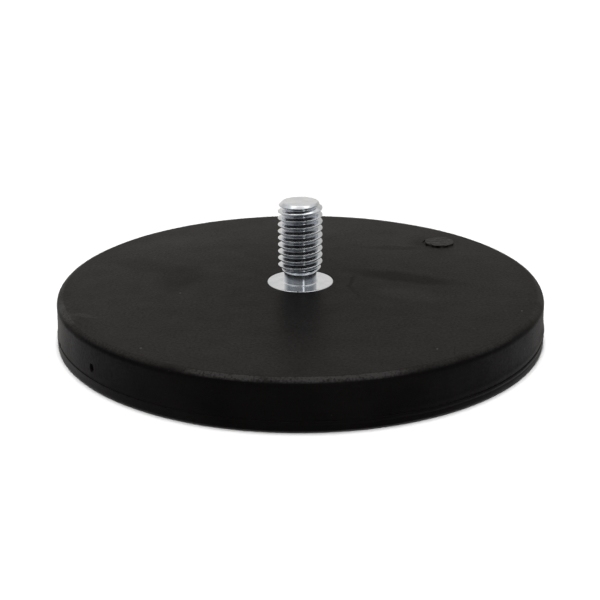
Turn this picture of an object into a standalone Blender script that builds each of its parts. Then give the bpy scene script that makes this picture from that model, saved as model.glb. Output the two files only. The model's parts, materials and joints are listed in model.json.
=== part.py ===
"""Rubber-coated magnet with a threaded stud: a flat round holding and retrieving magnet.

A steel disc carries two rings of neodymium magnets below it and a riveted threaded stud above it. A
moulded rubber tray holds the magnets, and a moulded rubber cover closes the top and the side.

Units are metres, +Z is up, and the origin is the centre of the magnetic face that rests on the work.
"""

import math

import bmesh
import bpy
from mathutils import Matrix, Vector

MM = 0.001

# Clearance between pieces that touch, and the step back of each piece from their shared surface.
CLEARANCE = 0.3 * MM
STEP_BACK = CLEARANCE / 2

# Outside of the rubber body. The wall narrows by WALL_DRAFT from the bottom to the top.
BODY_RADIUS = 44.0 * MM
BODY_HEIGHT = 8.5 * MM
WALL_DRAFT = 0.34 * MM
TOP_EDGE_RADIUS = 1.7 * MM
BOTTOM_EDGE_RADIUS = 0.4 * MM
SEAM_HEIGHT = 1.8 * MM

# Layers inside, from the bottom up: rubber skin, magnets, steel disc, rubber top.
SKIN_TOP = 0.8 * MM
MAGNET_TOP = 3.8 * MM
DISC_TOP = 6.8 * MM
DISC_RADIUS = 41.5 * MM
DISC_EDGE_BREAK = 0.3 * MM

# Magnets: plain discs in two rings.
MAGNET_RADIUS = 6.0 * MM
MAGNET_EDGE_BREAK = 0.3 * MM
INNER_RING_RADIUS = 17.0 * MM
INNER_RING_COUNT = 6
OUTER_RING_RADIUS = 33.0 * MM
OUTER_RING_COUNT = 12

# Stud: M8 x 1.25 right-hand thread, 15 mm long above its flange, riveted through the steel disc.
STUD_LENGTH = 15.0 * MM
THREAD_PITCH = 1.25 * MM
THREAD_MAJOR_RADIUS = 4.0 * MM
THREAD_MINOR_RADIUS = 3.233 * MM
THREAD_CREST_FLAT = THREAD_PITCH / 8
THREAD_ROOT_FLAT = THREAD_PITCH / 4
THREAD_CREST_OFFSET = 0.083 * MM
TIP_RADIUS = 3.2 * MM
NECK_RADIUS = 2.95 * MM
NECK_HEIGHT = 2.0 * MM
FLANGE_RADIUS = 6.0 * MM
FLANGE_EDGE_BREAK = 0.15 * MM
SPIGOT_RADIUS = 4.0 * MM
RIVET_HEAD_RADIUS = 5.5 * MM
RIVET_HEAD_DEPTH = 1.2 * MM

# Moulding marks on the rubber cover.
GATE_MARK_PLACE = (28.0 * MM, 22.7 * MM)
GATE_MARK_RADIUS = 3.0 * MM
GATE_MARK_HEIGHT = 0.25 * MM
PIN_HOLE_ANGLE = math.radians(220.2)
PIN_HOLE_HEIGHT = 3.75 * MM
PIN_HOLE_RADIUS = 0.6 * MM

# Facets round a full turn, and along a quarter turn of an edge radius.
BODY_STEPS = 96
DISC_STEPS = 72
STUD_STEPS = 32
MAGNET_STEPS = 24
PIN_STEPS = 12
EDGE_STEPS = 5

MERGE_DISTANCE = 0.001 * MM
SHARP_ANGLE = math.radians(35)


def clear_scene():
    for obj in list(bpy.data.objects):
        bpy.data.objects.remove(obj, do_unlink=True)


def new_collection(name):
    collection = bpy.data.collections.new(name)
    bpy.context.scene.collection.children.link(collection)
    return collection


def new_material(name, color, roughness, metallic):
    material = bpy.data.materials.new(name)
    material.use_nodes = True
    shader = material.node_tree.nodes["Principled BSDF"]
    shader.inputs["Base Color"].default_value = (*color, 1.0)
    shader.inputs["Roughness"].default_value = roughness
    shader.inputs["Metallic"].default_value = metallic
    return material


def link_mesh(name, mesh, collection):
    obj = bpy.data.objects.new(name, mesh)
    collection.objects.link(obj)
    return obj


def link_cutter(name, mesh, cutters):
    cutter = link_mesh(name, mesh, cutters)
    cutter.hide_render = True
    cutter.display_type = "WIRE"
    return cutter


def arc(center, radius, start, end, steps):
    """Points of a circular arc in the profile plane, from the start angle to the end angle in degrees."""
    points = []
    for step in range(steps + 1):
        angle = math.radians(start + (end - start) * step / steps)
        points.append((center[0] + radius * math.cos(angle), center[1] + radius * math.sin(angle)))
    return points


def profile_mesh(name, points, closed=False):
    """A chain of edges in the XZ plane, from (radius, height) points."""
    edges = [(index, index + 1) for index in range(len(points) - 1)]
    if closed:
        edges.append((len(points) - 1, 0))
    mesh = bpy.data.meshes.new(name)
    mesh.from_pydata([(radius, 0.0, height) for radius, height in points], edges, [])
    return mesh


def weld(obj):
    """Merges points that lie on each other, such as a thread's turns or the two sides of a cut."""
    modifier = obj.modifiers.new("weld", "WELD")
    modifier.merge_threshold = MERGE_DISTANCE


def turn(obj, steps):
    """Spins the object's profile about Z. The profile runs down its outer side, so faces point outward."""
    screw = obj.modifiers.new("turn", "SCREW")
    screw.axis = "Z"
    screw.steps = steps
    screw.render_steps = steps
    screw.use_merge_vertices = True
    screw.merge_threshold = MERGE_DISTANCE


def combine(obj, other, operation):
    modifier = obj.modifiers.new(f"{operation.lower()} {other.name}", "BOOLEAN")
    modifier.operation = operation
    modifier.object = other
    modifier.solver = "EXACT"


def evaluated_mesh(obj):
    graph = bpy.context.evaluated_depsgraph_get()
    return bpy.data.meshes.new_from_object(obj.evaluated_get(graph), depsgraph=graph)


def finish(obj, material):
    """Applies the modifiers, shades the round faces smooth, and gives the piece its material."""
    weld(obj)
    mesh = evaluated_mesh(obj)
    obj.modifiers.clear()
    obj.data = mesh
    mesh.name = obj.name
    mesh.materials.clear()
    mesh.materials.append(material)
    mesh.shade_smooth()
    mesh.set_sharp_from_angle(angle=SHARP_ANGLE)


def cylinders_mesh(name, places, radius, bottom, top, steps):
    """Upright cylinders between two heights, one at each place, in one mesh."""
    bm = bmesh.new()
    for x, y in places:
        bmesh.ops.create_cone(
            bm,
            cap_ends=True,
            segments=steps,
            radius1=radius,
            radius2=radius,
            depth=top - bottom,
            matrix=Matrix.Translation((x, y, (bottom + top) / 2)),
        )
    mesh = bpy.data.meshes.new(name)
    bm.to_mesh(mesh)
    bm.free()
    return mesh


def ring_places(radius, count):
    """Evenly spaced points on a circle, the first on +X."""
    angles = [2 * math.pi * index / count for index in range(count)]
    return [(radius * math.cos(angle), radius * math.sin(angle)) for angle in angles]


def wall_radius(height):
    return BODY_RADIUS - WALL_DRAFT * height / BODY_HEIGHT


def gate_mark(cutters):
    """The low round patch where the rubber entered the mould."""
    bottom = (DISC_TOP + BODY_HEIGHT) / 2
    top = BODY_HEIGHT + GATE_MARK_HEIGHT
    mesh = cylinders_mesh("gate_mark", [GATE_MARK_PLACE], GATE_MARK_RADIUS, bottom, top, MAGNET_STEPS)
    return link_cutter("gate_mark", mesh, cutters)


def pin_hole(cutters):
    """The hole left by the mould's locating pin, square to the wall and through to the steel disc."""
    inner = DISC_RADIUS - CLEARANCE
    outer = BODY_RADIUS + CLEARANCE
    mesh = cylinders_mesh("pin_hole", [(0.0, 0.0)], PIN_HOLE_RADIUS, inner, outer, PIN_STEPS)
    outward = Vector((math.cos(PIN_HOLE_ANGLE), math.sin(PIN_HOLE_ANGLE), 0.0))
    hole = link_cutter("pin_hole", mesh, cutters)
    hole.location.z = PIN_HOLE_HEIGHT
    hole.rotation_euler = outward.to_track_quat("Z", "Y").to_euler()
    return hole


def rubber_cover(parts, cutters, material):
    """Top and side wall in one moulding, with a hole for the stud's flange."""
    hole_radius = FLANGE_RADIUS + CLEARANCE
    inner_radius = DISC_RADIUS + STEP_BACK
    ceiling = DISC_TOP + STEP_BACK
    lip = SEAM_HEIGHT + STEP_BACK
    edge_height = BODY_HEIGHT - TOP_EDGE_RADIUS
    edge_center = (wall_radius(edge_height) - TOP_EDGE_RADIUS, edge_height)
    points = [
        (hole_radius, BODY_HEIGHT),
        *arc(edge_center, TOP_EDGE_RADIUS, 90, 0, EDGE_STEPS),
        (wall_radius(lip), lip),
        (inner_radius, lip),
        (inner_radius, ceiling),
        (hole_radius, ceiling),
    ]
    cover = link_mesh("rubber_cover", profile_mesh("cover_profile", points, closed=True), parts)
    turn(cover, BODY_STEPS)
    combine(cover, gate_mark(cutters), "UNION")
    combine(cover, pin_hole(cutters), "DIFFERENCE")
    finish(cover, material)


def magnet_pockets(cutters):
    places = ring_places(INNER_RING_RADIUS, INNER_RING_COUNT)
    places += ring_places(OUTER_RING_RADIUS, OUTER_RING_COUNT)
    radius = MAGNET_RADIUS + STEP_BACK
    bottom = SKIN_TOP - STEP_BACK
    top = MAGNET_TOP + CLEARANCE
    mesh = cylinders_mesh("magnet_pockets", places, radius, bottom, top, MAGNET_STEPS)
    return link_cutter("magnet_pockets", mesh, cutters)


def rubber_base_tray(parts, cutters, material):
    """Bottom skin and the web between the magnets in one moulding, with a pocket for each magnet."""
    web_radius = DISC_RADIUS - STEP_BACK
    web_top = MAGNET_TOP - STEP_BACK
    rim_top = SEAM_HEIGHT - STEP_BACK
    edge_center = (BODY_RADIUS - BOTTOM_EDGE_RADIUS, BOTTOM_EDGE_RADIUS)
    points = [
        (0.0, web_top),
        (web_radius, web_top),
        (web_radius, rim_top),
        (wall_radius(rim_top), rim_top),
        *arc(edge_center, BOTTOM_EDGE_RADIUS, 0, -90, EDGE_STEPS),
        (0.0, 0.0),
    ]
    tray = link_mesh("rubber_base_tray", profile_mesh("tray_profile", points), parts)
    turn(tray, BODY_STEPS)
    combine(tray, magnet_pockets(cutters), "DIFFERENCE")
    finish(tray, material)


def steel_disc(parts, material):
    """Back plate with broken edges. Its hole is countersunk from below for the stud's rivet head."""
    top = DISC_TOP - STEP_BACK
    bottom = MAGNET_TOP + STEP_BACK
    radius = DISC_RADIUS - STEP_BACK
    hole_radius = SPIGOT_RADIUS + CLEARANCE
    points = [
        (hole_radius, top),
        (radius - DISC_EDGE_BREAK, top),
        (radius, top - DISC_EDGE_BREAK),
        (radius, bottom + DISC_EDGE_BREAK),
        (radius - DISC_EDGE_BREAK, bottom),
        (RIVET_HEAD_RADIUS + CLEARANCE, bottom),
        (hole_radius, bottom + RIVET_HEAD_DEPTH),
    ]
    disc = link_mesh("steel_disc", profile_mesh("disc_profile", points, closed=True), parts)
    turn(disc, DISC_STEPS)
    finish(disc, material)


def magnets(parts, material):
    """Every magnet is its own object on one shared mesh."""
    half_height = (MAGNET_TOP - SKIN_TOP) / 2 - STEP_BACK
    radius = MAGNET_RADIUS - STEP_BACK
    mesh = cylinders_mesh("magnet", [(0.0, 0.0)], radius, -half_height, half_height, MAGNET_STEPS)
    mesh.materials.append(material)
    mesh.shade_smooth()
    mesh.set_sharp_from_angle(angle=SHARP_ANGLE)
    names = [f"magnet_inner_{number}" for number in range(1, INNER_RING_COUNT + 1)]
    names += [f"magnet_outer_{number:02}" for number in range(1, OUTER_RING_COUNT + 1)]
    places = ring_places(INNER_RING_RADIUS, INNER_RING_COUNT)
    places += ring_places(OUTER_RING_RADIUS, OUTER_RING_COUNT)
    for name, (x, y) in zip(names, places):
        magnet = link_mesh(name, mesh, parts)
        magnet.location = (x, y, (SKIN_TOP + MAGNET_TOP) / 2)
        edge_break = magnet.modifiers.new("edge_break", "BEVEL")
        edge_break.width = MAGNET_EDGE_BREAK
        edge_break.segments = 1
        edge_break.limit_method = "ANGLE"
        edge_break.angle_limit = math.radians(60)


def tooth_points():
    """One pitch of the thread in the +X plane, from root to root with the crest in the middle, top first."""
    flank_height = (THREAD_PITCH - THREAD_CREST_FLAT - THREAD_ROOT_FLAT) / 2
    half_crest = THREAD_CREST_FLAT / 2
    above_crest = [
        (THREAD_MINOR_RADIUS, THREAD_PITCH / 2),
        (THREAD_MINOR_RADIUS, half_crest + flank_height),
        (THREAD_MAJOR_RADIUS, half_crest),
    ]
    below_crest = [(radius, -height) for radius, height in reversed(above_crest)]
    lowest_crest = BODY_HEIGHT + THREAD_CREST_OFFSET
    return [(radius, lowest_crest + height) for radius, height in above_crest + below_crest]


def cap_ends(bm):
    """Closes both ends of the threaded bar with a fan of faces round a point on its axis."""
    middle = sum(vertex.co.z for vertex in bm.verts) / len(bm.verts)
    rims = {True: [], False: []}
    for edge in bm.edges:
        if edge.is_boundary:
            rims[edge.verts[0].co.z > middle].append(edge)
    for rim in rims.values():
        height = sum(edge.verts[0].co.z for edge in rim) / len(rim)
        center = bm.verts.new((0.0, 0.0, height))
        for edge in rim:
            bm.faces.new((edge.verts[0], edge.verts[1], center))
    bmesh.ops.recalc_face_normals(bm, faces=bm.faces)


def threaded_bar(cutters):
    """A closed bar that is longer than the stud at both ends: one tooth swept up a right-hand helix."""
    sweep = link_mesh("threaded_bar", profile_mesh("tooth_profile", tooth_points()), cutters)
    screw = sweep.modifiers.new("helix", "SCREW")
    screw.axis = "Z"
    screw.screw_offset = THREAD_PITCH
    screw.iterations = math.ceil(STUD_LENGTH / THREAD_PITCH) + 1
    screw.steps = STUD_STEPS
    screw.render_steps = STUD_STEPS
    weld(sweep)
    bm = bmesh.new()
    bm.from_mesh(evaluated_mesh(sweep))
    bpy.data.objects.remove(sweep, do_unlink=True)
    cap_ends(bm)
    mesh = bpy.data.meshes.new("threaded_bar")
    bm.to_mesh(mesh)
    bm.free()
    return link_cutter("threaded_bar", mesh, cutters)


def stud_base(cutters):
    """Neck, flange, spigot through the steel disc, and rivet head, up to the first thread."""
    flange_bottom = DISC_TOP + STEP_BACK
    bottom = MAGNET_TOP + STEP_BACK
    neck_top = BODY_HEIGHT + NECK_HEIGHT + THREAD_PITCH / 2
    points = [
        (0.0, neck_top),
        (NECK_RADIUS, neck_top),
        (NECK_RADIUS, BODY_HEIGHT),
        (FLANGE_RADIUS - FLANGE_EDGE_BREAK, BODY_HEIGHT),
        (FLANGE_RADIUS, BODY_HEIGHT - FLANGE_EDGE_BREAK),
        (FLANGE_RADIUS, flange_bottom),
        (SPIGOT_RADIUS, flange_bottom),
        (SPIGOT_RADIUS, bottom + RIVET_HEAD_DEPTH),
        (RIVET_HEAD_RADIUS, bottom),
        (0.0, bottom),
    ]
    base = link_cutter("stud_base", profile_mesh("base_profile", points), cutters)
    turn(base, STUD_STEPS)
    return base


def threaded_stud(parts, cutters, material):
    """The thread's envelope, with a chamfered tip and a run-out cone, cut to the thread and joined below."""
    top = BODY_HEIGHT + STUD_LENGTH
    envelope_radius = THREAD_MAJOR_RADIUS + CLEARANCE
    cone_start_radius = NECK_RADIUS - CLEARANCE
    cone_start = BODY_HEIGHT + NECK_HEIGHT - CLEARANCE
    points = [
        (0.0, top),
        (TIP_RADIUS, top),
        (envelope_radius, top - (envelope_radius - TIP_RADIUS)),
        (envelope_radius, cone_start + (envelope_radius - cone_start_radius)),
        (cone_start_radius, cone_start),
        (0.0, cone_start),
    ]
    stud = link_mesh("threaded_stud", profile_mesh("envelope_profile", points), parts)
    turn(stud, STUD_STEPS)
    combine(stud, threaded_bar(cutters), "INTERSECT")
    combine(stud, stud_base(cutters), "UNION")
    finish(stud, material)


def main():
    clear_scene()
    parts = new_collection("rubber_coated_magnet")
    cutters = new_collection("cutters")
    cutters.hide_render = True
    rubber = new_material("black_rubber", (0.022, 0.021, 0.020), 0.55, 0.0)
    bare_steel = new_material("bare_steel", (0.35, 0.35, 0.36), 0.4, 1.0)
    zinc = new_material("zinc_plate", (0.62, 0.63, 0.65), 0.22, 1.0)
    nickel = new_material("nickel_plate", (0.55, 0.54, 0.52), 0.25, 1.0)
    rubber_cover(parts, cutters, rubber)
    rubber_base_tray(parts, cutters, rubber)
    steel_disc(parts, bare_steel)
    magnets(parts, nickel)
    threaded_stud(parts, cutters, zinc)


main()
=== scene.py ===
"""Looks for the rubber-coated magnet with a threaded stud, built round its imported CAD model.

The rubber cover, the rubber base tray and the stud are fine meshes that stand for their CAD nodes.
The steel disc and the magnets inside keep their CAD shapes and get finished materials. Units are
metres.
"""

import json
import math

import bmesh
import bpy
from mathutils import Matrix, Quaternion, Vector, noise


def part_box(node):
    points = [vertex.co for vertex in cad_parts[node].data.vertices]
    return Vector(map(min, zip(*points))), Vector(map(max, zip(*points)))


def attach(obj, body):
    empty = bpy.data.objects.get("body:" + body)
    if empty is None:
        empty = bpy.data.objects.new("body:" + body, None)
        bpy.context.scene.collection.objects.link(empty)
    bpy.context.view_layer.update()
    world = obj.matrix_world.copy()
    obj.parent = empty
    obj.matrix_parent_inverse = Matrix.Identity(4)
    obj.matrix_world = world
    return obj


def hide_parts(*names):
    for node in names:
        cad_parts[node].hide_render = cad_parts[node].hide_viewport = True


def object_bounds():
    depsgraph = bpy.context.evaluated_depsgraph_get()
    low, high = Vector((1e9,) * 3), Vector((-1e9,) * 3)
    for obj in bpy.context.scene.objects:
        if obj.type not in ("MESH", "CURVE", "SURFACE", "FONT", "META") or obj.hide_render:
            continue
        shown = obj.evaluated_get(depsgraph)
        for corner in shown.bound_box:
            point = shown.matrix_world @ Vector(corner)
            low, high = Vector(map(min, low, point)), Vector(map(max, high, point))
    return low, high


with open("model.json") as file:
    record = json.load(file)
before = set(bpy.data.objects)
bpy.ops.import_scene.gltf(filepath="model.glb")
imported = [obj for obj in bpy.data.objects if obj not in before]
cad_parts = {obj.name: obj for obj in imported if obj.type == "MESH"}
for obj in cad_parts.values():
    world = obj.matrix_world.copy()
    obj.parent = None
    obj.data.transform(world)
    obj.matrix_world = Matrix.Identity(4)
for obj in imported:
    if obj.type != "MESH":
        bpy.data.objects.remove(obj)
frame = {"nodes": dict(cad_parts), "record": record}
CAD_BOX = [list(corner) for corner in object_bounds()]

MM = 0.001

# Places and sizes read from the frame.
MOUNTS = {mount["name"]: mount for mount in frame["record"]["mounts"]}
TOP_HEIGHT = MOUNTS["stud_flange_face"]["pos_m"][2]
STUD_LOW, STUD_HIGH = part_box("threaded_stud")
COVER_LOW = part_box("rubber_cover")[0]
TRAY_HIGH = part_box("rubber_base_tray")[1]
DISC_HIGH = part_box("steel_disc")[1]
MAGNET_BOXES = [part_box(name) for name in sorted(frame["nodes"]) if name.startswith("magnet_")]
BODY_RADIUS = TRAY_HIGH.x
FLANGE_RADIUS = STUD_HIGH.x

# Clearance that the CAD solids keep, and the finer one that the meshes made here keep.
CAD_STEP_BACK = 0.15 * MM
FINE_STEP_BACK = 0.04 * MM
LEVEL_TOLERANCE = 0.01 * MM
SEAM_HEIGHT = COVER_LOW.z - CAD_STEP_BACK


# ---------------------------------------------------------------- meshes


def ring(radius, height, steps):
    """A circle of points about Z."""
    turns = [2 * math.pi * step / steps for step in range(steps)]
    return [Vector((radius * math.cos(turn), radius * math.sin(turn), height)) for turn in turns]


def arc(center, radius, start, end, steps):
    """Profile points (radius, height) along a circular arc, angles in degrees."""
    points = []
    for step in range(steps + 1):
        angle = math.radians(start + (end - start) * step / steps)
        points.append((center[0] + radius * math.cos(angle), center[1] + radius * math.sin(angle)))
    return points


def run(start, end, steps):
    """Profile points from just after the start up to the end, evenly spaced."""
    points = []
    for step in range(1, steps + 1):
        share = step / steps
        across = start[0] + (end[0] - start[0]) * share
        up = start[1] + (end[1] - start[1]) * share
        points.append((across, up))
    return points


def bridge(bm, upper, lower):
    """Quads between two rings of vertices. They face outward if the profile runs down the outside."""
    count = len(upper)
    for index in range(count):
        following = (index + 1) % count
        bm.faces.new((upper[index], lower[index], lower[following], upper[following]))


def turned_rings(bm, profile, steps):
    """The rings of a turned surface, joined, in the order of the profile's points."""
    rings = []
    for radius, height in profile:
        rings.append([bm.verts.new(point) for point in ring(radius, height, steps)])
    for upper, lower in zip(rings, rings[1:]):
        bridge(bm, upper, lower)
    return rings


def turned_mesh(name, profile, steps, closed):
    """A turned solid. The profile runs down the outside, and closes on itself or ends near the axis."""
    bm = bmesh.new()
    rings = turned_rings(bm, profile, steps)
    if closed:
        bridge(bm, rings[-1], rings[0])
    else:
        cap(bm, rings[0], facing_up=True)
        cap(bm, rings[-1], facing_up=False)
    return mesh_from(bm, name)


def cap(bm, rim, facing_up):
    """A fan from the rim to a point on the axis."""
    center = bm.verts.new((0.0, 0.0, rim[0].co.z))
    for index, vertex in enumerate(rim):
        following = rim[(index + 1) % len(rim)]
        bm.faces.new((center, vertex, following) if facing_up else (center, following, vertex))


def mesh_from(bm, name):
    """Turns the built faces into a mesh and frees them."""
    mesh = bpy.data.meshes.new(name)
    bm.to_mesh(mesh)
    bm.free()
    return mesh


def add_object(name, mesh):
    """A new object for the mesh, in the scene."""
    obj = bpy.data.objects.new(name, mesh)
    bpy.context.scene.collection.objects.link(obj)
    return obj


def smooth(obj, sharp_degrees):
    """Smooth shading, with edges kept sharp where they turn by more than the angle."""
    obj.data.shade_smooth()
    obj.data.set_sharp_from_angle(angle=math.radians(sharp_degrees))


def cut(obj, other, operation):
    """Applies a Boolean with another object, which is then removed."""
    modifier = obj.modifiers.new(operation.lower(), "BOOLEAN")
    modifier.operation = operation
    modifier.object = other
    modifier.solver = "EXACT"
    graph = bpy.context.evaluated_depsgraph_get()
    mesh = bpy.data.meshes.new_from_object(obj.evaluated_get(graph), depsgraph=graph)
    obj.modifiers.clear()
    obj.data = mesh
    bpy.data.objects.remove(other, do_unlink=True)


def place_piece(obj, nodes, material):
    """The piece rides on the one body, stands for its CAD node and takes its finish."""
    obj.data.materials.clear()
    obj.data.materials.append(material)
    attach(obj, "root")
    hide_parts(*nodes)


# ---------------------------------------------------------------- rubber

RUBBER_STEPS = 360
WALL_ROWS = 34
WALL_SETBACK = 0.03 * MM
WALL_TOP_LOSS = 0.32 * MM
WALL_HOLLOW = 0.04 * MM
TOP_EDGE_RADIUS = 1.35 * MM
SEAM_GAP = 0.006 * MM
LIP_RADIUS = 0.02 * MM
SEAM_OPEN_SIDE = math.radians(322)
SEAM_LEAST_OPEN = 0.09
# Each part of the seam's relief: height above the seam, half width, and how far it stands out.
SEAM_RELIEF = (
    (0.0, 0.07 * MM, -0.11 * MM),
    (0.75 * MM, 0.5 * MM, 0.055 * MM),
    (-0.34 * MM, 0.16 * MM, 0.035 * MM),
    (-0.7 * MM, 0.14 * MM, -0.04 * MM),
)
SEAM_WANDER = 0.1 * MM
SURFACE_WAVE = 0.025 * MM
WAVE_SIZE = 9 * MM
WALL_WAVE_FROM = 38.5 * MM
WALL_BAND = 0.7 * MM
SHOULDERS = ((math.radians(203), 0.34 * MM), (math.radians(-14), 0.24 * MM))
SHOULDER_SPREAD = math.radians(13)
SHOULDER_REACH = 3.4 * MM
FOLD_HEIGHT = 0.06 * MM
FOLD_REACH = 0.55 * MM
SIDE_BUMP_ANGLE = math.radians(-15.5)
SIDE_BUMP_HEIGHT = 3.1 * MM
SIDE_BUMP_SPREAD = math.radians(4.5)
SIDE_BUMP_REACH = 0.85 * MM
SIDE_BUMP = 0.24 * MM
GATE_PLACE = Vector((28.0 * MM, 22.7 * MM, 0.0))
GATE_RADIUS = 2.9 * MM
GATE_HEIGHT = 0.3 * MM
GATE_TORN = 0.12
GATE_LUMPS = 0.14 * MM
GATE_STEPS = 96
GATE_LOOPS = 14
GATE_MOAT = 0.22 * MM
GATE_MOAT_DEPTH = 0.16 * MM
GATE_MOAT_TORN = 0.03
GATE_MOAT_SHIFT = Vector((-0.3 * MM, -0.2 * MM, 0.0))
PIN_ANGLE = math.radians(219.9)
PIN_HEIGHT = 3.7 * MM
PIN_RADIUS = 0.46 * MM
PIN_STRETCH = 1.35
PIN_TILT = math.radians(8)
NOTCH_ANGLE = math.radians(199)
NOTCH_HEIGHT = 1.85 * MM
NOTCH_SIZE = Vector((0.62 * MM, 0.4 * MM, 0.34 * MM))
NOTCH_TILT = math.radians(-20)
MAGNET_PRINT = 0.035 * MM
PRINT_EDGE = 0.5 * MM


def wall_radius(height):
    """Drafted wall with a slight hollow between the seam and the top edge, where the rubber shrank."""
    draft = WALL_TOP_LOSS * height / TOP_HEIGHT
    share = (height - SEAM_HEIGHT) / (TOP_HEIGHT - TOP_EDGE_RADIUS - SEAM_HEIGHT)
    hollow = WALL_HOLLOW * math.sin(math.pi * min(max(share, 0.0), 1.0))
    return BODY_RADIUS - WALL_SETBACK - draft - hollow


def bell(value, middle, reach):
    """A smooth bump of height 1."""
    return math.exp(-(((value - middle) / reach) ** 2))


def seam_offset(height, turn):
    """The parting line's relief: grooves, a flared lip above and a ridge below, open on one side."""
    facing = max(math.cos(turn - SEAM_OPEN_SIDE), 0.0)
    ragged = 1 + 0.5 * noise.noise(Vector((9 * turn, 0.0, 3.0)))
    openness = (SEAM_LEAST_OPEN + (1 - SEAM_LEAST_OPEN) * facing**3) * ragged
    away = height - SEAM_HEIGHT + SEAM_WANDER * noise.noise(Vector((7 * turn, 5.0, 0.0)))
    relief = sum(out * bell(away, middle, reach) for middle, reach, out in SEAM_RELIEF)
    return relief * openness


def turn_between(first, second):
    """The angle between two directions, from 0 to half a turn."""
    return abs((first - second + math.pi) % (2 * math.pi) - math.pi)


def shoulder_drop(radius, turn):
    """How far the outer top has sunk at two places on the edge, with a low fold where it starts."""
    start = BODY_RADIUS - SHOULDER_REACH
    share = min(max((radius - start) / (SHOULDER_REACH * 0.8), 0.0), 1.0)
    drop = 0.0
    for middle, depth in SHOULDERS:
        near = bell(turn_between(turn, middle), 0.0, SHOULDER_SPREAD)
        drop += depth * near * share * share * (3 - 2 * share)
        drop -= FOLD_HEIGHT * near * bell(radius, start, FOLD_REACH)
    return drop


def side_bump(height, turn):
    """A lump on the wall at the right."""
    near = bell(turn_between(turn, SIDE_BUMP_ANGLE), 0.0, SIDE_BUMP_SPREAD)
    return SIDE_BUMP * near * bell(height, SIDE_BUMP_HEIGHT, SIDE_BUMP_REACH)


def shape_rubber(mesh):
    """Low waves in the moulded top and wall, sunken shoulders, and the parting line's relief."""
    for vertex in mesh.vertices:
        point = vertex.co
        radius = math.hypot(point.x, point.y)
        wave = noise.noise(point / WAVE_SIZE) + 0.4 * noise.noise(point / (WAVE_SIZE / 3))
        if radius < WALL_WAVE_FROM:
            if point.z > TOP_HEIGHT - LEVEL_TOLERANCE and radius > FLANGE_RADIUS + 1 * MM:
                point.z += SURFACE_WAVE * wave
            continue
        turn = math.atan2(point.y, point.x)
        rise = max(point.z - SEAM_HEIGHT, 0.0) / (TOP_HEIGHT - SEAM_HEIGHT)
        outward = SURFACE_WAVE * wave * (1 - rise)
        if radius > BODY_RADIUS - WALL_BAND:
            outward += seam_offset(point.z, turn) + side_bump(point.z, turn)
        point.x *= 1 + outward / radius
        point.y *= 1 + outward / radius
        point.z += (SURFACE_WAVE * wave - shoulder_drop(radius, turn)) * rise**2


def gate_disc(name, radius, top, bottom, torn, lumps):
    """A disc for the place where the rubber was fed in. Its edge can be torn and its top lumpy."""
    bm = bmesh.new()
    loops = []
    for level in range(GATE_LOOPS + 1):
        share = level / GATE_LOOPS
        loop = []
        for point in ring(radius * share, 0.0, GATE_STEPS) if level else [Vector()]:
            across = Vector((point.x, point.y, radius * 2))
            ragged = 1 + torn * noise.noise(across / (0.75 * MM)) * share
            spot = Vector((point.x * ragged, point.y * ragged, 0.0))
            bumps = noise.noise(spot / (0.95 * MM)) + 0.5 * noise.noise(spot / (0.4 * MM))
            spot.z = top + lumps * bumps
            loop.append(bm.verts.new(spot))
        loops.append(loop)
    center = loops[0][0]
    for index in range(GATE_STEPS):
        bm.faces.new((center, loops[1][index], loops[1][(index + 1) % GATE_STEPS]))
    for inner, outer in zip(loops[1:], loops[2:]):
        bridge(bm, inner, outer)
    sunk = [bm.verts.new((vertex.co.x, vertex.co.y, bottom)) for vertex in loops[-1]]
    bridge(bm, loops[-1], sunk)
    cap(bm, sunk, facing_up=False)
    return add_object(name, mesh_from(bm, name))


def gate_patch():
    """The torn-off stub of the feed, standing a little above the top."""
    top = TOP_HEIGHT + GATE_HEIGHT
    bottom = TOP_HEIGHT - 1.0 * MM
    patch = gate_disc("gate_patch", GATE_RADIUS, top, bottom, GATE_TORN, GATE_LUMPS)
    patch.location = GATE_PLACE
    return patch


def gate_moat():
    """The sunken ring round the stub."""
    radius = GATE_RADIUS + GATE_MOAT
    top = TOP_HEIGHT + 1.0 * MM
    bottom = TOP_HEIGHT - GATE_MOAT_DEPTH
    moat = gate_disc("gate_moat", radius, top, bottom, GATE_MOAT_TORN, 0.0)
    moat.location = GATE_PLACE + GATE_MOAT_SHIFT
    return moat


def wall_frame(angle, height):
    """Local axes on the wall: X along it, Y up, Z outward."""
    outward = Vector((math.cos(angle), math.sin(angle), 0.0))
    upward = Vector((0.0, 0.0, 1.0))
    turned = Matrix((upward.cross(outward), upward, outward)).transposed().to_4x4()
    return Matrix.Translation(outward * wall_radius(height) + upward * height) @ turned


def pin_drill():
    """A drill with a worn mouth, square to the wall, for the locating pin's hole."""
    depth = BODY_RADIUS - DISC_HIGH.x
    profile = [(PIN_RADIUS * 1.6, 0.4 * MM), (PIN_RADIUS * 1.3, 0.0), (PIN_RADIUS, -0.16 * MM)]
    profile.append((PIN_RADIUS * 0.85, -depth))
    drill = add_object("pin_drill", turned_mesh("pin_drill", profile, 32, closed=False))
    tilt = Matrix.Rotation(PIN_TILT, 4, "Z")
    shape = Matrix.Diagonal((1.0, PIN_STRETCH, 1.0, 1.0))
    drill.matrix_world = wall_frame(PIN_ANGLE, PIN_HEIGHT) @ tilt @ shape
    return drill


def notch_cutter():
    """A small tear where the parting line was trimmed."""
    bm = bmesh.new()
    bmesh.ops.create_uvsphere(bm, u_segments=24, v_segments=16, radius=1.0)
    cutter = add_object("notch_cutter", mesh_from(bm, "notch_cutter"))
    tilt = Matrix.Rotation(NOTCH_TILT, 4, "Z")
    shape = Matrix.Diagonal((*NOTCH_SIZE, 1.0))
    cutter.matrix_world = wall_frame(NOTCH_ANGLE, NOTCH_HEIGHT) @ tilt @ shape
    return cutter


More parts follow.
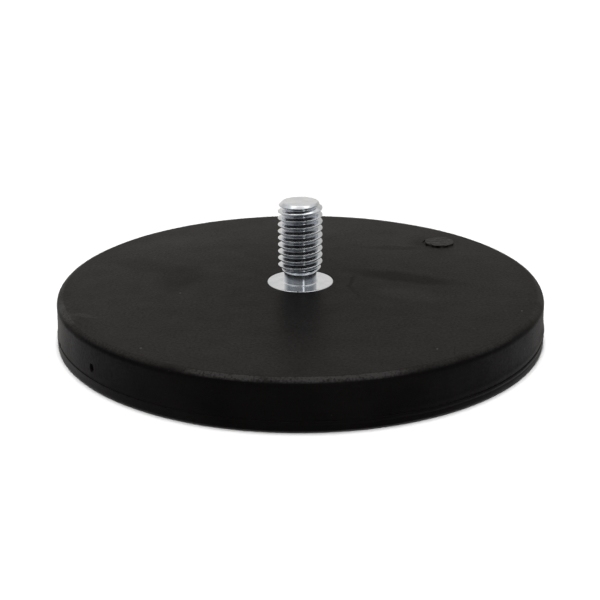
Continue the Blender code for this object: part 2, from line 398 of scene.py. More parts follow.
def rubber_cover(material):
    """Top and side wall, with its rounded edges, the torn feed stub and the pin hole."""
    hole = FLANGE_RADIUS + FINE_STEP_BACK
    ceiling = DISC_HIGH.z + CAD_STEP_BACK
    inner = DISC_HIGH.x + CAD_STEP_BACK
    lip = SEAM_HEIGHT + SEAM_GAP
    edge_height = TOP_HEIGHT - TOP_EDGE_RADIUS
    edge_center = (wall_radius(edge_height) - TOP_EDGE_RADIUS, edge_height)
    hole_edge = 0.12 * MM
    support = (edge_center[0] - 0.12 * MM, TOP_HEIGHT)
    profile = arc((hole + hole_edge, TOP_HEIGHT - hole_edge), hole_edge, 180, 90, 4)
    profile.append((hole + hole_edge + 0.1 * MM, TOP_HEIGHT))
    profile += run(profile[-1], support, 30)
    profile += arc(edge_center, TOP_EDGE_RADIUS, 90, 0, 16)
    wall = wall_rows(edge_height, lip + LIP_RADIUS)
    profile += [(wall_radius(height), height) for height in wall]
    profile += arc((profile[-1][0] - LIP_RADIUS, lip + LIP_RADIUS), LIP_RADIUS, 0, -90, 3)[1:]
    profile += run(profile[-1], (inner, lip), 2)
    profile += run((inner, lip), (inner, ceiling), 3)
    profile += run((inner, ceiling), (hole, ceiling), 8)
    mesh = turned_mesh("rubber_cover_skin", profile, RUBBER_STEPS, closed=True)
    shape_rubber(mesh)
    cover = add_object("rubber_cover_skin", mesh)
    cut(cover, gate_moat(), "DIFFERENCE")
    cut(cover, gate_patch(), "UNION")
    cut(cover, pin_drill(), "DIFFERENCE")
    cut(cover, notch_cutter(), "DIFFERENCE")
    smooth(cover, 40)
    place_piece(cover, ["rubber_cover"], material)


def wall_rows(start, end):
    """Heights of the wall's rows from the start to the end, closer together near the seam."""
    reach = abs(start - SEAM_HEIGHT)
    least = abs(end - SEAM_HEIGHT)
    rows = []
    for step in range(1, WALL_ROWS + 1):
        away = reach * (least / reach) ** (step / WALL_ROWS)
        rows.append(SEAM_HEIGHT + math.copysign(away, start - SEAM_HEIGHT))
    return rows


def magnet_print(point):
    """How far the thin skin sinks round each magnet's edge: a shallow ring under every magnet."""
    depth = 0.0
    for low, high in MAGNET_BOXES:
        center = (low + high) / 2
        radius = (high.x - low.x) / 2
        distance = abs(math.hypot(point.x - center.x, point.y - center.y) - radius)
        if distance < PRINT_EDGE * 2:
            depth = max(depth, math.exp(-((distance / PRINT_EDGE) ** 2)))
    return depth * MAGNET_PRINT


def pocket_drills():
    """One drill for each magnet's pocket, all in one object."""
    bm = bmesh.new()
    for low, high in MAGNET_BOXES:
        bottom = low.z - CAD_STEP_BACK
        top = TRAY_HIGH.z + 1 * MM
        center = Vector(((low.x + high.x) / 2, (low.y + high.y) / 2, (bottom + top) / 2))
        radius = (high.x - low.x) / 2 + 2 * CAD_STEP_BACK
        bmesh.ops.create_cone(
            bm,
            cap_ends=True,
            segments=64,
            radius1=radius,
            radius2=radius,
            depth=top - bottom,
            matrix=Matrix.Translation(center),
        )
    return add_object("pockets", mesh_from(bm, "pockets"))


def rubber_base_tray(material):
    """Bottom skin, rim and web in one moulding, with the magnets' pockets and their faint print."""
    web = DISC_HIGH.x
    web_edge = 0.3 * MM
    rim = SEAM_HEIGHT - SEAM_GAP
    edge = 0.4 * MM
    outer = BODY_RADIUS
    lip_center = (outer - LIP_RADIUS, rim - LIP_RADIUS)
    profile = run((0.0, TRAY_HIGH.z), (web - web_edge, TRAY_HIGH.z), 12)
    profile += arc((web - web_edge, TRAY_HIGH.z - web_edge), web_edge, 90, 0, 3)[1:]
    profile += run((web, TRAY_HIGH.z - web_edge), (web, rim), 2)
    profile += run((web, rim), (lip_center[0], rim), 2)
    profile += arc(lip_center, LIP_RADIUS, 90, 0, 3)[1:]
    profile += [(outer, height) for height in reversed(wall_rows(edge, lip_center[1])[:-1])]
    profile.append((outer, edge))
    profile += arc((outer - edge, edge), edge, 0, -90, 6)[1:]
    profile += run(profile[-1], (0.3 * MM, 0.0), 120)
    mesh = turned_mesh("rubber_base_skin", profile, RUBBER_STEPS, closed=False)
    shape_rubber(mesh)
    for vertex in mesh.vertices:
        if vertex.co.z < LEVEL_TOLERANCE:
            vertex.co.z += magnet_print(vertex.co)
    tray = add_object("rubber_base_skin", mesh)
    cut(tray, pocket_drills(), "DIFFERENCE")
    cut(tray, notch_cutter(), "DIFFERENCE")
    smooth(tray, 40)
    place_piece(tray, ["rubber_base_tray"], material)


# ---------------------------------------------------------------- stud

STUD_STEPS = 160
PITCH = 1.25 * MM
MAJOR_RADIUS = 4.0 * MM
MINOR_RADIUS = 3.233 * MM
CREST_OFFSET = 0.083 * MM
FLANK_SLOPE = math.tan(math.radians(60))
FLANK_APEX = MAJOR_RADIUS + PITCH * FLANK_SLOPE / 16
CREST_ROUND = 0.06 * MM
CREST_FLAT = PITCH / 16 - CREST_ROUND * math.tan(math.radians(30))
CREST_END = CREST_FLAT + CREST_ROUND * math.sin(math.radians(60))
ROOT_ROUND = PITCH * FLANK_SLOPE / 12
ROOT_END = ROOT_ROUND * math.sin(math.radians(60))
TIP_RADIUS = 3.2 * MM
TIP_ROUND = 0.35 * MM
TIP_ROUND_REACH = TIP_ROUND * math.tan(math.radians(22.5))
THREAD_TOP = STUD_HIGH.z - TIP_ROUND_REACH * math.sin(math.radians(45))
EDGE_BLEND = 0.16 * MM
NECK_RADIUS = 2.95 * MM
NECK_TOP = TOP_HEIGHT + 2.0 * MM
NECK_FILLET = 0.22 * MM
SPIGOT_RADIUS = 4.0 * MM
RIVET_RADIUS = 5.5 * MM
RIVET_SINK = 1.2 * MM
NICK_PLACE = Vector((-0.48 * MM, -5.97 * MM, TOP_HEIGHT))
NICK_SIZE = 0.3 * MM
NICK_DEPTH = 0.16 * MM
WELD_DISTANCE = 0.0005 * MM


def thread_radius(away):
    """Rolled 60 degree thread: its radius at a distance along the axis from a crest's middle."""
    if away <= CREST_FLAT:
        return MAJOR_RADIUS
    if away <= CREST_END:
        return MAJOR_RADIUS - CREST_ROUND + math.sqrt(CREST_ROUND**2 - (away - CREST_FLAT) ** 2)
    if away <= PITCH / 2 - ROOT_END:
        return FLANK_APEX - FLANK_SLOPE * away
    return MINOR_RADIUS + ROOT_ROUND - math.sqrt(ROOT_ROUND**2 - (PITCH / 2 - away) ** 2)


def thread_offsets():
    """Heights of one turn's rows, measured from the crest, from just above one root to the next."""
    crest = [CREST_FLAT + (CREST_END - CREST_FLAT) * step / 5 for step in range(6)]
    flank = [CREST_END + (PITCH / 2 - ROOT_END - CREST_END) * step / 5 for step in range(1, 5)]
    root = [PITCH / 2 - ROOT_END * (1 - step / 5) for step in range(6)]
    half = crest + flank + root
    return [-away for away in reversed(half[:-1])] + half


def soft_minimum(first, second, blend):
    """The smaller of two numbers, rounded off where they are close."""
    share = max(blend - abs(first - second), 0.0) / blend
    return min(first, second) - share * share * blend / 4


def stud_point(bm, step, height, away):
    """A vertex on the threaded length, inside the run-out cone above the neck and the chamfer."""
    height = min(max(height, NECK_TOP), THREAD_TOP)
    run_out = NECK_RADIUS + (height - NECK_TOP)
    chamfer = TIP_RADIUS + (STUD_HIGH.z - height)
    radius = soft_minimum(thread_radius(away), chamfer, EDGE_BLEND)
    radius = min(radius, run_out)
    turn = 2 * math.pi * step / STUD_STEPS
    return bm.verts.new((radius * math.cos(turn), radius * math.sin(turn), height))


def thread(bm):
    """The helical surface as rows that climb it, with both ends clamped. Each turn joins the next."""
    offsets = thread_offsets()
    turns = math.ceil((THREAD_TOP - TOP_HEIGHT) / PITCH) + 1
    rows = []
    for turn in range(-1, turns):
        for offset in offsets:
            crest = TOP_HEIGHT + CREST_OFFSET + PITCH * turn
            row = []
            for step in range(STUD_STEPS):
                height = crest + PITCH * step / STUD_STEPS + offset
                row.append(stud_point(bm, step, height, abs(offset)))
            rows.append(row)
    for row in range(len(rows) - 1):
        for step in range(STUD_STEPS - 1):
            lower, upper = rows[row], rows[row + 1]
            bm.faces.new((lower[step], lower[step + 1], upper[step + 1], upper[step]))
    for row in range(len(rows) - len(offsets) - 1):
        lower, upper = rows[row], rows[row + 1]
        next_lower, next_upper = rows[row + len(offsets)], rows[row + len(offsets) + 1]
        bm.faces.new((lower[-1], next_lower[0], next_upper[0], upper[-1]))


def dent(vertices, place, size, depth):
    """Presses the surface down and inward round a place."""
    for vertex in vertices:
        away = (vertex.co - place).length / size
        if away < 2:
            push = depth * math.exp(-((away * 1.2) ** 2))
            inward = Vector((vertex.co.x, vertex.co.y, 0.0)).normalized()
            vertex.co -= inward * push * 0.8
            vertex.co.z -= push


def stud_base(bm):
    """Neck with its fillet, flange, spigot through the disc, and the peened rivet head."""
    edge = 0.12 * MM
    under = DISC_HIGH.z + CAD_STEP_BACK
    bottom = STUD_LOW.z
    head_edge = RIVET_RADIUS - 0.2 * MM
    profile = [(NECK_RADIUS, NECK_TOP)]
    profile += run(profile[-1], (NECK_RADIUS, TOP_HEIGHT + NECK_FILLET), 5)
    fillet_center = (NECK_RADIUS + NECK_FILLET, TOP_HEIGHT + NECK_FILLET)
    profile += arc(fillet_center, NECK_FILLET, 180, 270, 8)[1:]
    profile += run(profile[-1], (FLANGE_RADIUS - edge, TOP_HEIGHT), 12)
    profile += arc((FLANGE_RADIUS - edge, TOP_HEIGHT - edge), edge, 90, 0, 5)[1:]
    profile += run(profile[-1], (FLANGE_RADIUS, under), 3)
    profile += run(profile[-1], (SPIGOT_RADIUS, under), 3)
    profile += run(profile[-1], (SPIGOT_RADIUS, bottom + RIVET_SINK), 3)
    profile += run(profile[-1], (head_edge, bottom), 4)
    profile += run(profile[-1], (0.4 * MM, bottom), 6)
    rings = turned_rings(bm, profile, STUD_STEPS)
    cap(bm, rings[-1], facing_up=False)
    dent([vertex for loop in rings for vertex in loop], NICK_PLACE, NICK_SIZE, NICK_DEPTH)


def threaded_stud(material):
    """One steel piece: rivet head, spigot, flange, neck, rolled thread and chamfered tip."""
    bm = bmesh.new()
    thread(bm)
    stud_base(bm)
    tip = [(0.3 * MM, STUD_HIGH.z)]
    tip += run(tip[-1], (TIP_RADIUS - TIP_ROUND_REACH, STUD_HIGH.z), 8)
    tip += arc((tip[-1][0], STUD_HIGH.z - TIP_ROUND), TIP_ROUND, 90, 45, 6)[1:]
    rings = turned_rings(bm, tip, STUD_STEPS)
    cap(bm, rings[0], facing_up=True)
    bmesh.ops.remove_doubles(bm, verts=bm.verts, dist=WELD_DISTANCE)
    bmesh.ops.dissolve_degenerate(bm, edges=bm.edges, dist=WELD_DISTANCE)
    bmesh.ops.recalc_face_normals(bm, faces=bm.faces)
    stud = add_object("threaded_stud_fine", mesh_from(bm, "threaded_stud_fine"))
    smooth(stud, 32)
    place_piece(stud, ["threaded_stud"], material)


# ---------------------------------------------------------------- materials

# Rubber: sizes of its noise features, the depth of its grain, and where the painted light on upward
# faces starts and is full.
CLOUD_SIZE = 14 * MM
PATCH_SIZE = 4.5 * MM
MOTTLE_SIZE = 0.5 * MM
GRAIN_SIZE = 0.16 * MM
GRAIN_DEPTH = 0.02 * MM
PAINTED_LIGHT_START = 10 * MM
PAINTED_LIGHT_FULL = 38 * MM
FILM_WARP_SIZE = 2.5 * MM
FILM_WARP_REACH = 1.6 * MM
SHEEN = 0.029
BASE_COLORS = ((0.0039, 0.0034, 0.0033), (0.0054, 0.0047, 0.0045))
COVER_COLORS = ((0.0038, 0.0033, 0.0032), (0.0057, 0.005, 0.0048))
# Painted light: a paler colour laid on upward faces, growing towards the rim, in place of light on the
# rubber's top.
PAINTED_TOP_LIGHT = (0.0152, 0.0138, 0.0133)
DUST_COLOR = (0.1, 0.1, 0.1)
FINE_DUST_COLOR = (0.09, 0.09, 0.09)
# Partly wear, partly a painted highlight on the top edge.
WORN_AND_HIGHLIGHT_COLOR = (0.05, 0.0477, 0.0474)
STUB_COLOR = (0.0455, 0.043, 0.041)
ZINC_COLORS = ((0.66, 0.69, 0.73), (0.74, 0.76, 0.79))
ZINC_CLOUD_SIZE = 1.6 * MM
ZINC_GRAIN_SIZE = 0.12 * MM
ZINC_GRAIN_DEPTH = 0.004 * MM
STEEL_COLORS = ((0.36, 0.36, 0.37), (0.46, 0.46, 0.47))
NICKEL_COLORS = ((0.58, 0.56, 0.52), (0.66, 0.64, 0.6))
SPECK_SIZE = 0.22 * MM
DUST_SPECKS = (
    (-21.3 * MM, -6.3 * MM),
    (-25.0 * MM, -31.4 * MM),
    (37.5 * MM, -15.8 * MM),
    (21.3 * MM, -32.2 * MM),
)
# Middle, direction in degrees, half length, half width, and the change in sheen.
FILM_MARKS = (
    ((19.4 * MM, 1.5 * MM), -22.0, 12.5 * MM, 3.5 * MM, -0.52),
    ((19.5 * MM, -7.5 * MM), -28.0, 8.5 * MM, 3.8 * MM, 0.36),
    ((9.5 * MM, -0.2 * MM), 79.0, 4.5 * MM, 0.5 * MM, -0.36),
    ((9.6 * MM, -5.6 * MM), 103.0, 4.5 * MM, 0.5 * MM, -0.24),
    ((19.2 * MM, 19.4 * MM), -6.5, 7.5 * MM, 1.8 * MM, -0.35),
    ((15.0 * MM, 24.0 * MM), -10.0, 9.0 * MM, 4.0 * MM, 0.14),
    ((26.8 * MM, 22.7 * MM), 0.0, 5.8 * MM, 4.4 * MM, -0.4),
    ((-22.0 * MM, 2.0 * MM), 80.0, 9.0 * MM, 5.2 * MM, -0.32),
    ((-30.0 * MM, 9.5 * MM), -27.0, 10.0 * MM, 4.4 * MM, -0.24),
    ((-24.0 * MM, 24.0 * MM), 15.0, 12.0 * MM, 5.5 * MM, 0.13),
    ((-37.2 * MM, -16.7 * MM), -25.6, 4.6 * MM, 0.75 * MM, 0.6),
    ((-38.2 * MM, -19.8 * MM), -53.0, 4.2 * MM, 1.3 * MM, -0.35),
)
SCRATCH = ((23.9 * MM, -32.8 * MM), 82.0, 2.8 * MM, 0.13 * MM)
STUB_MARK_RADIUS = GATE_RADIUS * 1.06

# The worn line, partly wear and partly a painted highlight: its lower end, its fade there, its reach
# round the front, and one more place.
WORN_HIGHLIGHT_START = TOP_HEIGHT - 1.2 * MM
WORN_HIGHLIGHT_FADE = 0.2 * MM
WORN_HIGHLIGHT_FRONT = (-41.9 * MM, -39.2 * MM)
WORN_HIGHLIGHT_SIDE = ((-40.5 * MM, -14.5 * MM), 112.0, 9 * MM, 3 * MM)
WORN_HIGHLIGHT_PATCH_SIZE = 7 * MM
WORN_HIGHLIGHT_SCUFF_SIZE = 0.35 * MM


def new_material(name):
    """A new material with its node tree and its shader."""
    material = bpy.data.materials.new(name)
    material.use_nodes = True
    return material, material.node_tree, material.node_tree.nodes["Principled BSDF"]


def add_node(tree, kind, **values):
    """A node with its inputs set by name, with underscores for spaces."""
    node = tree.nodes.new(kind)
    for name, value in values.items():
        node.inputs[name.replace("_", " ")].default_value = value
    return node


def object_coordinates(tree):
    """The piece's own coordinates, in metres."""
    return tree.nodes.new("ShaderNodeTexCoord").outputs["Object"]


def noise_value(tree, coordinates, size, detail=4.0, roughness=0.5, distortion=0.0):
    """Noise whose features are about the given size in metres."""
    node = add_node(tree, "ShaderNodeTexNoise", Scale=1 / size, Detail=detail)
    node.inputs["Roughness"].default_value = roughness
    node.inputs["Distortion"].default_value = distortion
    tree.links.new(coordinates, node.inputs["Vector"])
    return node.outputs["Fac"]


def ramp(tree, value, low, high, start, end):
    """The value's range from low to high, mapped to the range from start to end, and held beyond."""
    node = add_node(tree, "ShaderNodeMapRange")
    for index, number in enumerate((low, high, start, end)):
        node.inputs[index + 1].default_value = number
    tree.links.new(value, node.inputs[0])
    return node.outputs[0]


def blend_colors(tree, factor, first, second):
    """The first colour at factor 0, the second at 1. Each is a socket or three plain numbers."""
    node = tree.nodes.new("ShaderNodeMix")
    node.data_type = "RGBA"
    tree.links.new(factor, node.inputs[0])
    for socket, color in ((node.inputs[6], first), (node.inputs[7], second)):
        if isinstance(color, tuple):
            socket.default_value = (*color, 1.0)
        else:
            tree.links.new(color, socket)
    return node.outputs[2]


def fade(tree, value, low, high, first, second):
    """The first colour where the value is at or below low, the second at or above high."""
    return blend_colors(tree, ramp(tree, value, low, high, 0.0, 1.0), first, second)


def normal_parts(tree):
    """The surface normal's X, Y and Z outputs."""
    split = tree.nodes.new("ShaderNodeSeparateXYZ")
    tree.links.new(tree.nodes.new("ShaderNodeNewGeometry").outputs["Normal"], split.inputs[0])
    return split.outputs


def multiply(tree, first, second):
    """The product of two sockets or plain numbers."""
    return math_node(tree, "MULTIPLY", first, second)


def bump(tree, height, distance, strength, normal=None):
    """A normal bumped by the height, on top of another normal if one is given."""
    node = add_node(tree, "ShaderNodeBump", Distance=distance, Strength=strength)
    tree.links.new(height, node.inputs["Height"])
    if normal is not None:
        tree.links.new(normal, node.inputs["Normal"])
    return node.outputs["Normal"]


def math_node(tree, operation, first, second):
    """A Math node. Each input is a socket or a plain number."""
    node = tree.nodes.new("ShaderNodeMath")
    node.operation = operation
    for socket, value in zip(node.inputs, (first, second)):
        if isinstance(value, (int, float)):
            socket.default_value = value
        else:
            tree.links.new(value, socket)
    return node.outputs[0]


def warped(tree, place, size, reach):
    """Coordinates pushed about by noise, so that marks laid with them get uneven edges."""
    node = add_node(tree, "ShaderNodeTexNoise", Scale=1 / size, Detail=3.0)
    tree.links.new(place, node.inputs["Vector"])
    shift = tree.nodes.new("ShaderNodeVectorMath")
    shift.operation = "MULTIPLY_ADD"
    tree.links.new(node.outputs["Color"], shift.inputs[0])
    shift.inputs[1].default_value = (reach, reach, reach)
    tree.links.new(place, shift.inputs[2])
    back = tree.nodes.new("ShaderNodeVectorMath")
    back.operation = "SUBTRACT"
    tree.links.new(shift.outputs[0], back.inputs[0])
    back.inputs[1].default_value = (reach / 2, reach / 2, reach / 2)
    return back.outputs[0]


def mark(tree, place, center, degrees, half_length, half_width, core=0.35):
    """A soft oval on the top face: 1 in its core, 0 at its outline."""
    mapping = tree.nodes.new("ShaderNodeMapping")
    mapping.vector_type = "TEXTURE"
    tree.links.new(place, mapping.inputs["Vector"])
    mapping.inputs["Location"].default_value = (center[0], center[1], TOP_HEIGHT)
    mapping.inputs["Rotation"].default_value = (0.0, 0.0, math.radians(degrees))
    mapping.inputs["Scale"].default_value = (half_length, half_width, 2 * MM)
    length = tree.nodes.new("ShaderNodeVectorMath")
    length.operation = "LENGTH"
    tree.links.new(mapping.outputs[0], length.inputs[0])
    return ramp(tree, length.outputs["Value"], core, 1.0, 1.0, 0.0)


def rubber_material(name, dark, pale):
    """Moulded black rubber: flow clouds, fine grain, painted light on its upward faces that grows
    towards the rim, and a bloom that varies its sheen.
    """
    material, tree, shader = new_material(name)
    place = object_coordinates(tree)
    clouds = noise_value(tree, place, CLOUD_SIZE, detail=3.0, distortion=0.6)
    mottle = noise_value(tree, place, MOTTLE_SIZE, detail=3.0, roughness=0.7)
    patches = noise_value(tree, place, PATCH_SIZE, detail=4.0, roughness=0.6)
    specks = noise_value(tree, place, MOTTLE_SIZE, detail=2.0)
    color = fade(tree, clouds, 0.35, 0.7, dark, pale)
    # Painted light: upward faces are made paler, more so towards the rim, standing in for light on the
    # top.
    painted_top_light = ramp(tree, normal_parts(tree)["Z"], 0.6, 0.98, 0.0, 1.0)
    painted_top_light = multiply(tree, painted_top_light, ramp(tree, mottle, 0.3, 0.7, 0.7, 1.3))
    from_middle = tree.nodes.new("ShaderNodeVectorMath")
    from_middle.operation = "LENGTH"
    tree.links.new(place, from_middle.inputs[0])
    outer = ramp(tree, from_middle.outputs["Value"], PAINTED_LIGHT_START, PAINTED_LIGHT_FULL, 0.05, 1.0)
    painted_top_light = multiply(tree, painted_top_light, outer)
    color = blend_colors(tree, painted_top_light, color, PAINTED_TOP_LIGHT)
    dust = ramp(tree, specks, 0.77, 0.82, 0.0, 0.3)
    color = blend_colors(tree, dust, color, FINE_DUST_COLOR)
    sheen = multiply(tree, ramp(tree, clouds, 0.3, 0.7, 0.88, 1.1), SHEEN)
    sheen = multiply(tree, sheen, ramp(tree, mottle, 0.25, 0.75, 0.55, 1.45))
    sheen = multiply(tree, sheen, ramp(tree, patches, 0.3, 0.7, 0.84, 1.16))
    tree.links.new(ramp(tree, clouds, 0.3, 0.7, 0.37, 0.44), shader.inputs["Roughness"])
    leather = noise_value(tree, place, MOTTLE_SIZE, detail=4.0, roughness=0.6)
    grain = noise_value(tree, place, GRAIN_SIZE, detail=3.0)
    normal = bump(tree, leather, GRAIN_DEPTH, 0.5)
    normal = bump(tree, grain, GRAIN_DEPTH, 0.35, normal)
    tree.links.new(normal, shader.inputs["Normal"])
    tree.links.new(color, shader.inputs["Base Color"])
    tree.links.new(sheen, shader.inputs["Specular IOR Level"])
    return material, tree, shader, place, color, sheen


def base_material():
    """The plain rubber of the base tray."""
    return rubber_material("base_rubber", *BASE_COLORS)[0]


def cover_material():
    """The rubber with this moulding's own marks: a worn edge that is partly a painted highlight, feed
    stub, films, a scratch and dust.
    """
    rubber = rubber_material("cover_rubber", *COVER_COLORS)
    material, tree, shader, place, color, sheen = rubber
    uneven = warped(tree, place, FILM_WARP_SIZE, FILM_WARP_REACH)
    for center, degrees, half_length, half_width, change in FILM_MARKS:
        film = mark(tree, uneven, center, degrees, half_length, half_width, core=0.5)
        sheen = multiply(tree, sheen, ramp(tree, film, 0.0, 1.0, 1.0, 1.0 + change))
    scratch = mark(tree, place, *SCRATCH, core=0.5)
    sheen = multiply(tree, sheen, ramp(tree, scratch, 0.0, 1.0, 1.0, 0.6))
    for center in DUST_SPECKS:
        speck = mark(tree, place, center, 0.0, SPECK_SIZE, SPECK_SIZE)
        color = blend_colors(tree, speck, color, DUST_COLOR)
    stub = mark(tree, place, GATE_PLACE, 0.0, STUB_MARK_RADIUS, STUB_MARK_RADIUS, core=0.9)
    color = blend_colors(tree, stub, color, STUB_COLOR)
    # Partly wear, partly a painted highlight along the top edge, strongest at the front.
    color = blend_colors(tree, worn_and_highlight_edge(tree, place), color, WORN_AND_HIGHLIGHT_COLOR)
    tree.links.new(color, shader.inputs["Base Color"])
    tree.links.new(sheen, shader.inputs["Specular IOR Level"])
    return material


def worn_and_highlight_edge(tree, place):
    """A narrow line where the top turns over into the wall, strongest at the front: partly scuffs,
    partly a painted highlight.
    """
    facing = normal_parts(tree)
    turned = ramp(tree, facing["Z"], 0.965, 0.998, 1.0, 0.0)
    level = ramp(tree, facing["Z"], 0.47, 0.82, 0.0, 1.0)
    split = tree.nodes.new("ShaderNodeSeparateXYZ")
    tree.links.new(place, split.inputs[0])
    high = ramp(tree, split.outputs["Z"], WORN_HIGHLIGHT_START, WORN_HIGHLIGHT_START + WORN_HIGHLIGHT_FADE, 0.0, 1.0)
    patches = noise_value(tree, place, WORN_HIGHLIGHT_PATCH_SIZE, detail=3.0)
    patchy = ramp(tree, patches, 0.35, 0.6, 0.5, 1.5)
    scuffs = noise_value(tree, place, WORN_HIGHLIGHT_SCUFF_SIZE, detail=3.0)
    rough = ramp(tree, scuffs, 0.3, 0.7, 0.2, 1.7)
    front = ramp(tree, split.outputs["Y"], *WORN_HIGHLIGHT_FRONT, 1.0, 0.22)
    side = mark(tree, place, *WORN_HIGHLIGHT_SIDE)
    line = multiply(tree, multiply(tree, turned, level), high)
    line = multiply(tree, line, math_node(tree, "MAXIMUM", front, side))
    return multiply(tree, multiply(tree, line, patchy), rough)


def zinc_material():
    """Bright zinc plate on turned and rolled steel. Its fine marks run round the axis."""
    material, tree, shader = new_material("bright_zinc_plate")
    place = object_coordinates(tree)
    clouds = noise_value(tree, place, ZINC_CLOUD_SIZE, detail=4.0)
    color = fade(tree, clouds, 0.35, 0.65, *ZINC_COLORS)
    tree.links.new(color, shader.inputs["Base Color"])
    faced = ramp(tree, normal_parts(tree)["Z"], 0.9, 0.97, 0.0, 0.05)
    rough = math_node(tree, "SUBTRACT", ramp(tree, clouds, 0.3, 0.7, 0.12, 0.175), faced)
    tree.links.new(rough, shader.inputs["Roughness"])
    shader.inputs["Metallic"].default_value = 1.0
    shader.inputs["Anisotropic"].default_value = 0.85
    shader.inputs["Anisotropic Rotation"].default_value = 0.25
    tangent = tree.nodes.new("ShaderNodeTangent")
    tangent.direction_type = "RADIAL"
    tangent.axis = "Z"
    tree.links.new(tangent.outputs[0], shader.inputs["Tangent"])
    grain = noise_value(tree, place, ZINC_GRAIN_SIZE, detail=3.0)
    tree.links.new(bump(tree, grain, ZINC_GRAIN_DEPTH, 0.3), shader.inputs["Normal"])
    return material


def metal_material(name, colors, size, low, high):
    """Plated or bare metal inside: clouded colour and sheen with a fine grain."""
    material, tree, shader = new_material(name)
    place = object_coordinates(tree)
    clouds = noise_value(tree, place, size, detail=5.0)
    color = fade(tree, clouds, 0.35, 0.65, *colors)
    tree.links.new(color, shader.inputs["Base Color"])
    tree.links.new(ramp(tree, clouds, 0.3, 0.7, low, high), shader.inputs["Roughness"])
    shader.inputs["Metallic"].default_value = 1.0
    grain = noise_value(tree, place, size / 8, detail=3.0)
    tree.links.new(bump(tree, grain, 0.01 * MM, 0.3), shader.inputs["Normal"])
    return material


def finish_carried_nodes():
    """Finishes for the steel disc and the magnets, which keep their CAD shapes."""
    disc = metal_material("disc_steel", STEEL_COLORS, 2.5 * MM, 0.3, 0.5)
    nickel = metal_material("magnet_nickel", NICKEL_COLORS, 3.0 * MM, 0.14, 0.26)
    for name, obj in frame["nodes"].items():
        if name == "steel_disc" or name.startswith("magnet_"):
            obj.data.materials.clear()
            obj.data.materials.append(disc if name == "steel_disc" else nickel)


# ---------------------------------------------------------------- studio

OPENING_LIGHT = (0.03, 0.035, 0.045)
OPENING_HIGH_LIGHT = (0.25, 0.255, 0.26)
SIDE_LIGHT = (0.26, 0.27, 0.28)
BACK_LEFT_LIGHT = (0.78, 0.76, 0.73)
BACK_RIGHT_LIGHT = (0.6, 0.585, 0.56)
BELOW_LIGHT = (1.17, 1.13, 1.15)
HIGH_LIGHT = (0.8, 0.79, 0.77)
HIGH_FRONT_LIGHT = (0.42, 0.42, 0.42)
CEILING_LIGHT = (1.85, 1.82, 1.76)
ZENITH_LIGHT = (1.2, 1.19, 1.16)
FLOOR_HEIGHT = CAD_BOX[0][2] - 0.01 * MM
FLOOR_STEPS = 64
FLOOR_RINGS = (0.2, 0.8, 3.2)
BACKDROP_RADIUS = 3.1
BACKDROP_HEIGHT = 3.0
FLOOR_TONE = 0.15
FLOOR_LAMP_GLOW = 0.97
FLOOR_LAMP_TILT = math.radians(5)
FLOOR_LAMP_SPREAD = math.radians(15)
STRIP_AZIMUTH = math.radians(23)
STRIP_ELEVATION = math.radians(28)
STRIP_DISTANCE = 0.6
STRIP_WIDTH = 0.11
STRIP_HEIGHT = 0.5
STRIP_GLOW = 1.0

CAMERA_PLACE = Vector((0.0, -194.75 * MM, 77.14 * MM))
CAMERA_TARGET = Vector((-0.08 * MM, 0.0, 4.75 * MM))
CAMERA_LENS = 67.88
CAMERA_ROLL = math.radians(-0.21)


def make_camera():
    """The main camera, in front of the object and a little above it."""
    data = bpy.data.cameras.new("camera")
    data.lens = CAMERA_LENS
    data.sensor_width = 36.0
    data.clip_start = 0.01
    camera = bpy.data.objects.new("camera", data)
    bpy.context.scene.collection.objects.link(camera)
    camera.location = CAMERA_PLACE
    camera.rotation_mode = "QUATERNION"
    facing = (CAMERA_TARGET - CAMERA_PLACE).to_track_quat("-Z", "Y")
    camera.rotation_quaternion = facing @ Quaternion((0.0, 0.0, 1.0), CAMERA_ROLL)
    bpy.context.scene.camera = camera


def make_strip_light():
    """An upright strip light facing the object. Azimuth 0 is the front, -Y, and turns towards +X."""
    data = bpy.data.lights.new("strip_front_right", "AREA")
    data.shape = "RECTANGLE"
    data.size = STRIP_WIDTH
    data.size_y = STRIP_HEIGHT
    data.energy = STRIP_GLOW * math.pi * STRIP_WIDTH * STRIP_HEIGHT
    light = bpy.data.objects.new("strip_front_right", data)
    bpy.context.scene.collection.objects.link(light)
    level = math.cos(STRIP_ELEVATION)
    right = math.sin(STRIP_AZIMUTH) * level
    front = math.cos(STRIP_AZIMUTH) * level
    away = Vector((right, -front, math.sin(STRIP_ELEVATION)))
    light.location = away * STRIP_DISTANCE
    light.rotation_mode = "QUATERNION"
    light.rotation_quaternion = (-away).to_track_quat("-Z", "Y")
    light.visible_camera = False


def make_backdrop():
    """A pale wall far off, seen by the camera alone, so that low views have no dark edge."""
    bm = bmesh.new()
    turned_rings(bm, [(BACKDROP_RADIUS, 0.0), (BACKDROP_RADIUS, BACKDROP_HEIGHT)], FLOOR_STEPS)
    backdrop = add_object("backdrop", mesh_from(bm, "backdrop"))
    backdrop.location.z = FLOOR_HEIGHT
    material, _, shader = new_material("pale_backdrop")
    shader.inputs["Base Color"].default_value = (0.0, 0.0, 0.0, 1.0)
    shader.inputs["Specular IOR Level"].default_value = 0.0
    shader.inputs["Emission Color"].default_value = (1.0, 1.0, 1.0, 1.0)
    shader.inputs["Emission Strength"].default_value = 1.0
    backdrop.data.materials.append(material)
    backdrop.visible_diffuse = False
    backdrop.visible_glossy = False
    backdrop.visible_transmission = False
    backdrop.visible_shadow = False


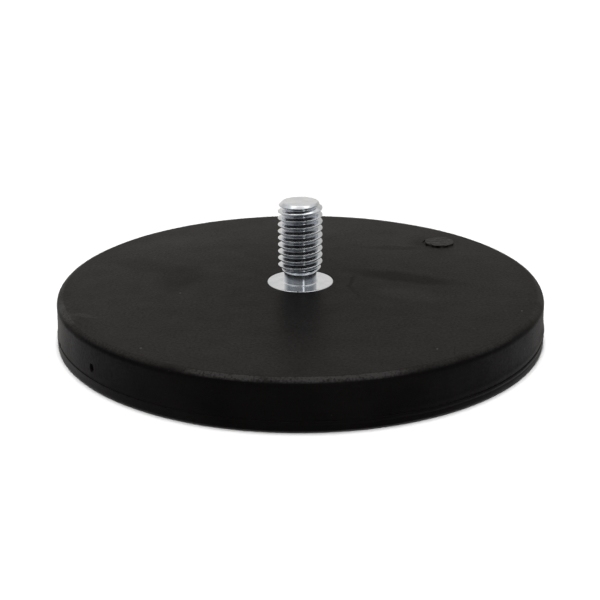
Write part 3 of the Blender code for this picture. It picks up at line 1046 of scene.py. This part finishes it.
def make_world():
    """A light tent: a bright ceiling, a pale back and base, darker sides and an open front."""
    world = bpy.data.worlds.new("studio")
    bpy.context.scene.world = world
    world.use_nodes = True
    tree = world.node_tree
    split = tree.nodes.new("ShaderNodeSeparateXYZ")
    tree.links.new(tree.nodes.new("ShaderNodeTexCoord").outputs["Generated"], split.inputs[0])
    # Across is X, to the right. Depth is Y, away from the front. Height is Z.
    across, depth, height = split.outputs
    opening = fade(tree, height, 0.06, 0.2, OPENING_LIGHT, OPENING_HIGH_LIGHT)
    walls = fade(tree, depth, -0.74, -0.68, opening, SIDE_LIGHT)
    back = fade(tree, across, 0.03, 0.16, BACK_LEFT_LIGHT, BACK_RIGHT_LIGHT)
    walls = fade(tree, depth, 0.1, 0.8, walls, back)
    below = fade(tree, depth, -0.85, -0.1, OPENING_LIGHT, BELOW_LIGHT)
    below = fade(tree, depth, 0.4, 0.85, below, back)
    walls = fade(tree, height, -0.3, -0.12, below, walls)
    high = fade(tree, depth, -0.7, -0.35, HIGH_FRONT_LIGHT, HIGH_LIGHT)
    walls = fade(tree, height, 0.45, 0.7, walls, high)
    ceiling = ramp(tree, height, 0.82, 0.9, 0.0, 1.0)
    ceiling = multiply(tree, ceiling, ramp(tree, depth, -0.28, -0.14, 0.0, 1.0))
    above = fade(tree, height, 0.96, 0.985, CEILING_LIGHT, ZENITH_LIGHT)
    room = blend_colors(tree, ceiling, walls, above)
    tree.links.new(room, tree.nodes["Background"].inputs["Color"])
    tree.nodes["Background"].inputs["Strength"].default_value = 1.0


def make_floor():
    """A wide pale disc, in rings so that its faces are small where the magnet stands."""
    bm = bmesh.new()
    rings = turned_rings(bm, [(radius, 0.0) for radius in FLOOR_RINGS], FLOOR_STEPS)
    cap(bm, rings[0], facing_up=True)
    floor = add_object("floor", mesh_from(bm, "floor"))
    floor.location.z = FLOOR_HEIGHT
    material, _, shader = new_material("pale_floor")
    shader.inputs["Base Color"].default_value = (FLOOR_TONE, FLOOR_TONE, FLOOR_TONE, 1.0)
    shader.inputs["Roughness"].default_value = 0.9
    shader.inputs["Specular IOR Level"].default_value = 0.0
    floor.data.materials.append(material)
    floor.visible_glossy = False
    return floor


def light_floor(floor):
    """A soft lamp overhead for the floor alone, which keeps the shadow narrow under the body."""
    data = bpy.data.lights.new("floor_lamp", "SUN")
    data.energy = FLOOR_LAMP_GLOW * math.pi / FLOOR_TONE
    data.angle = FLOOR_LAMP_SPREAD
    lamp = bpy.data.objects.new("floor_lamp", data)
    bpy.context.scene.collection.objects.link(lamp)
    lamp.rotation_euler = (-FLOOR_LAMP_TILT, 0.0, 0.0)
    receivers = bpy.data.collections.new("floor_lamp_receivers")
    receivers.objects.link(floor)
    lamp.light_linking.receiver_collection = receivers


def light_studio():
    """The light tent, one strip light, and colours shown as they are."""
    make_world()
    make_strip_light()
    bpy.context.scene.view_settings.view_transform = "Standard"


make_camera()
light_studio()
light_floor(make_floor())
make_backdrop()
rubber_cover(cover_material())
rubber_base_tray(base_material())
threaded_stud(zinc_material())
finish_carried_nodes()
